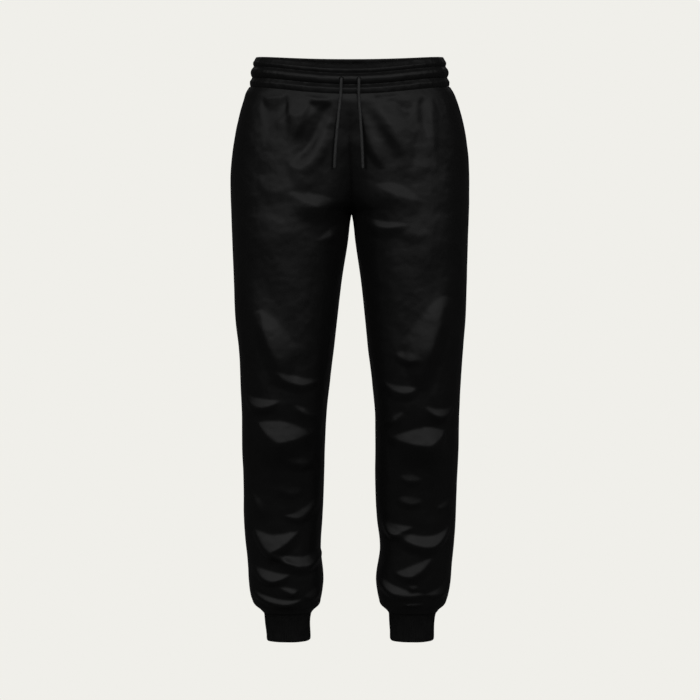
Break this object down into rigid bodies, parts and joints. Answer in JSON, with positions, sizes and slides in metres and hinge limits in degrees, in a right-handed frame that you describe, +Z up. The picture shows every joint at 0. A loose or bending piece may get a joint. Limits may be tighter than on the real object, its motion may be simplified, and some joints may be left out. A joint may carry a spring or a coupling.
{
  "type": "jogger sweatpants",
  "caption": "Full-length sweatpants filled out as worn: elastic waistband with stitched channels and drawcord, rounded seat, tapering legs stacked above close ribbed cuffs.",
  "frame": {"origin": "middle of the waist opening, half way up the waistband at the side seams, where the wearer holds the garment up", "axes": "+Z up along the body, +X towards the wearer's left leg, the front faces -Y"},
  "size_m": [0.4189, 0.2565, 1.0298],
  "materials": {
    "fleece": "black cotton fleece, smooth face, faint soft sheen",
    "rib": "black rib knit, matt",
    "cord": "black braided cotton cord"
  },
  "bodies": {
    "root": {"waistband": "fleece", "front_right": "fleece", "front_left": "fleece", "back_right": "fleece", "back_left": "fleece", "cuff_right": "rib", "cuff_left": "rib", "drawcord_right": "cord", "drawcord_left": "cord"}
  },
  "joints": []
}
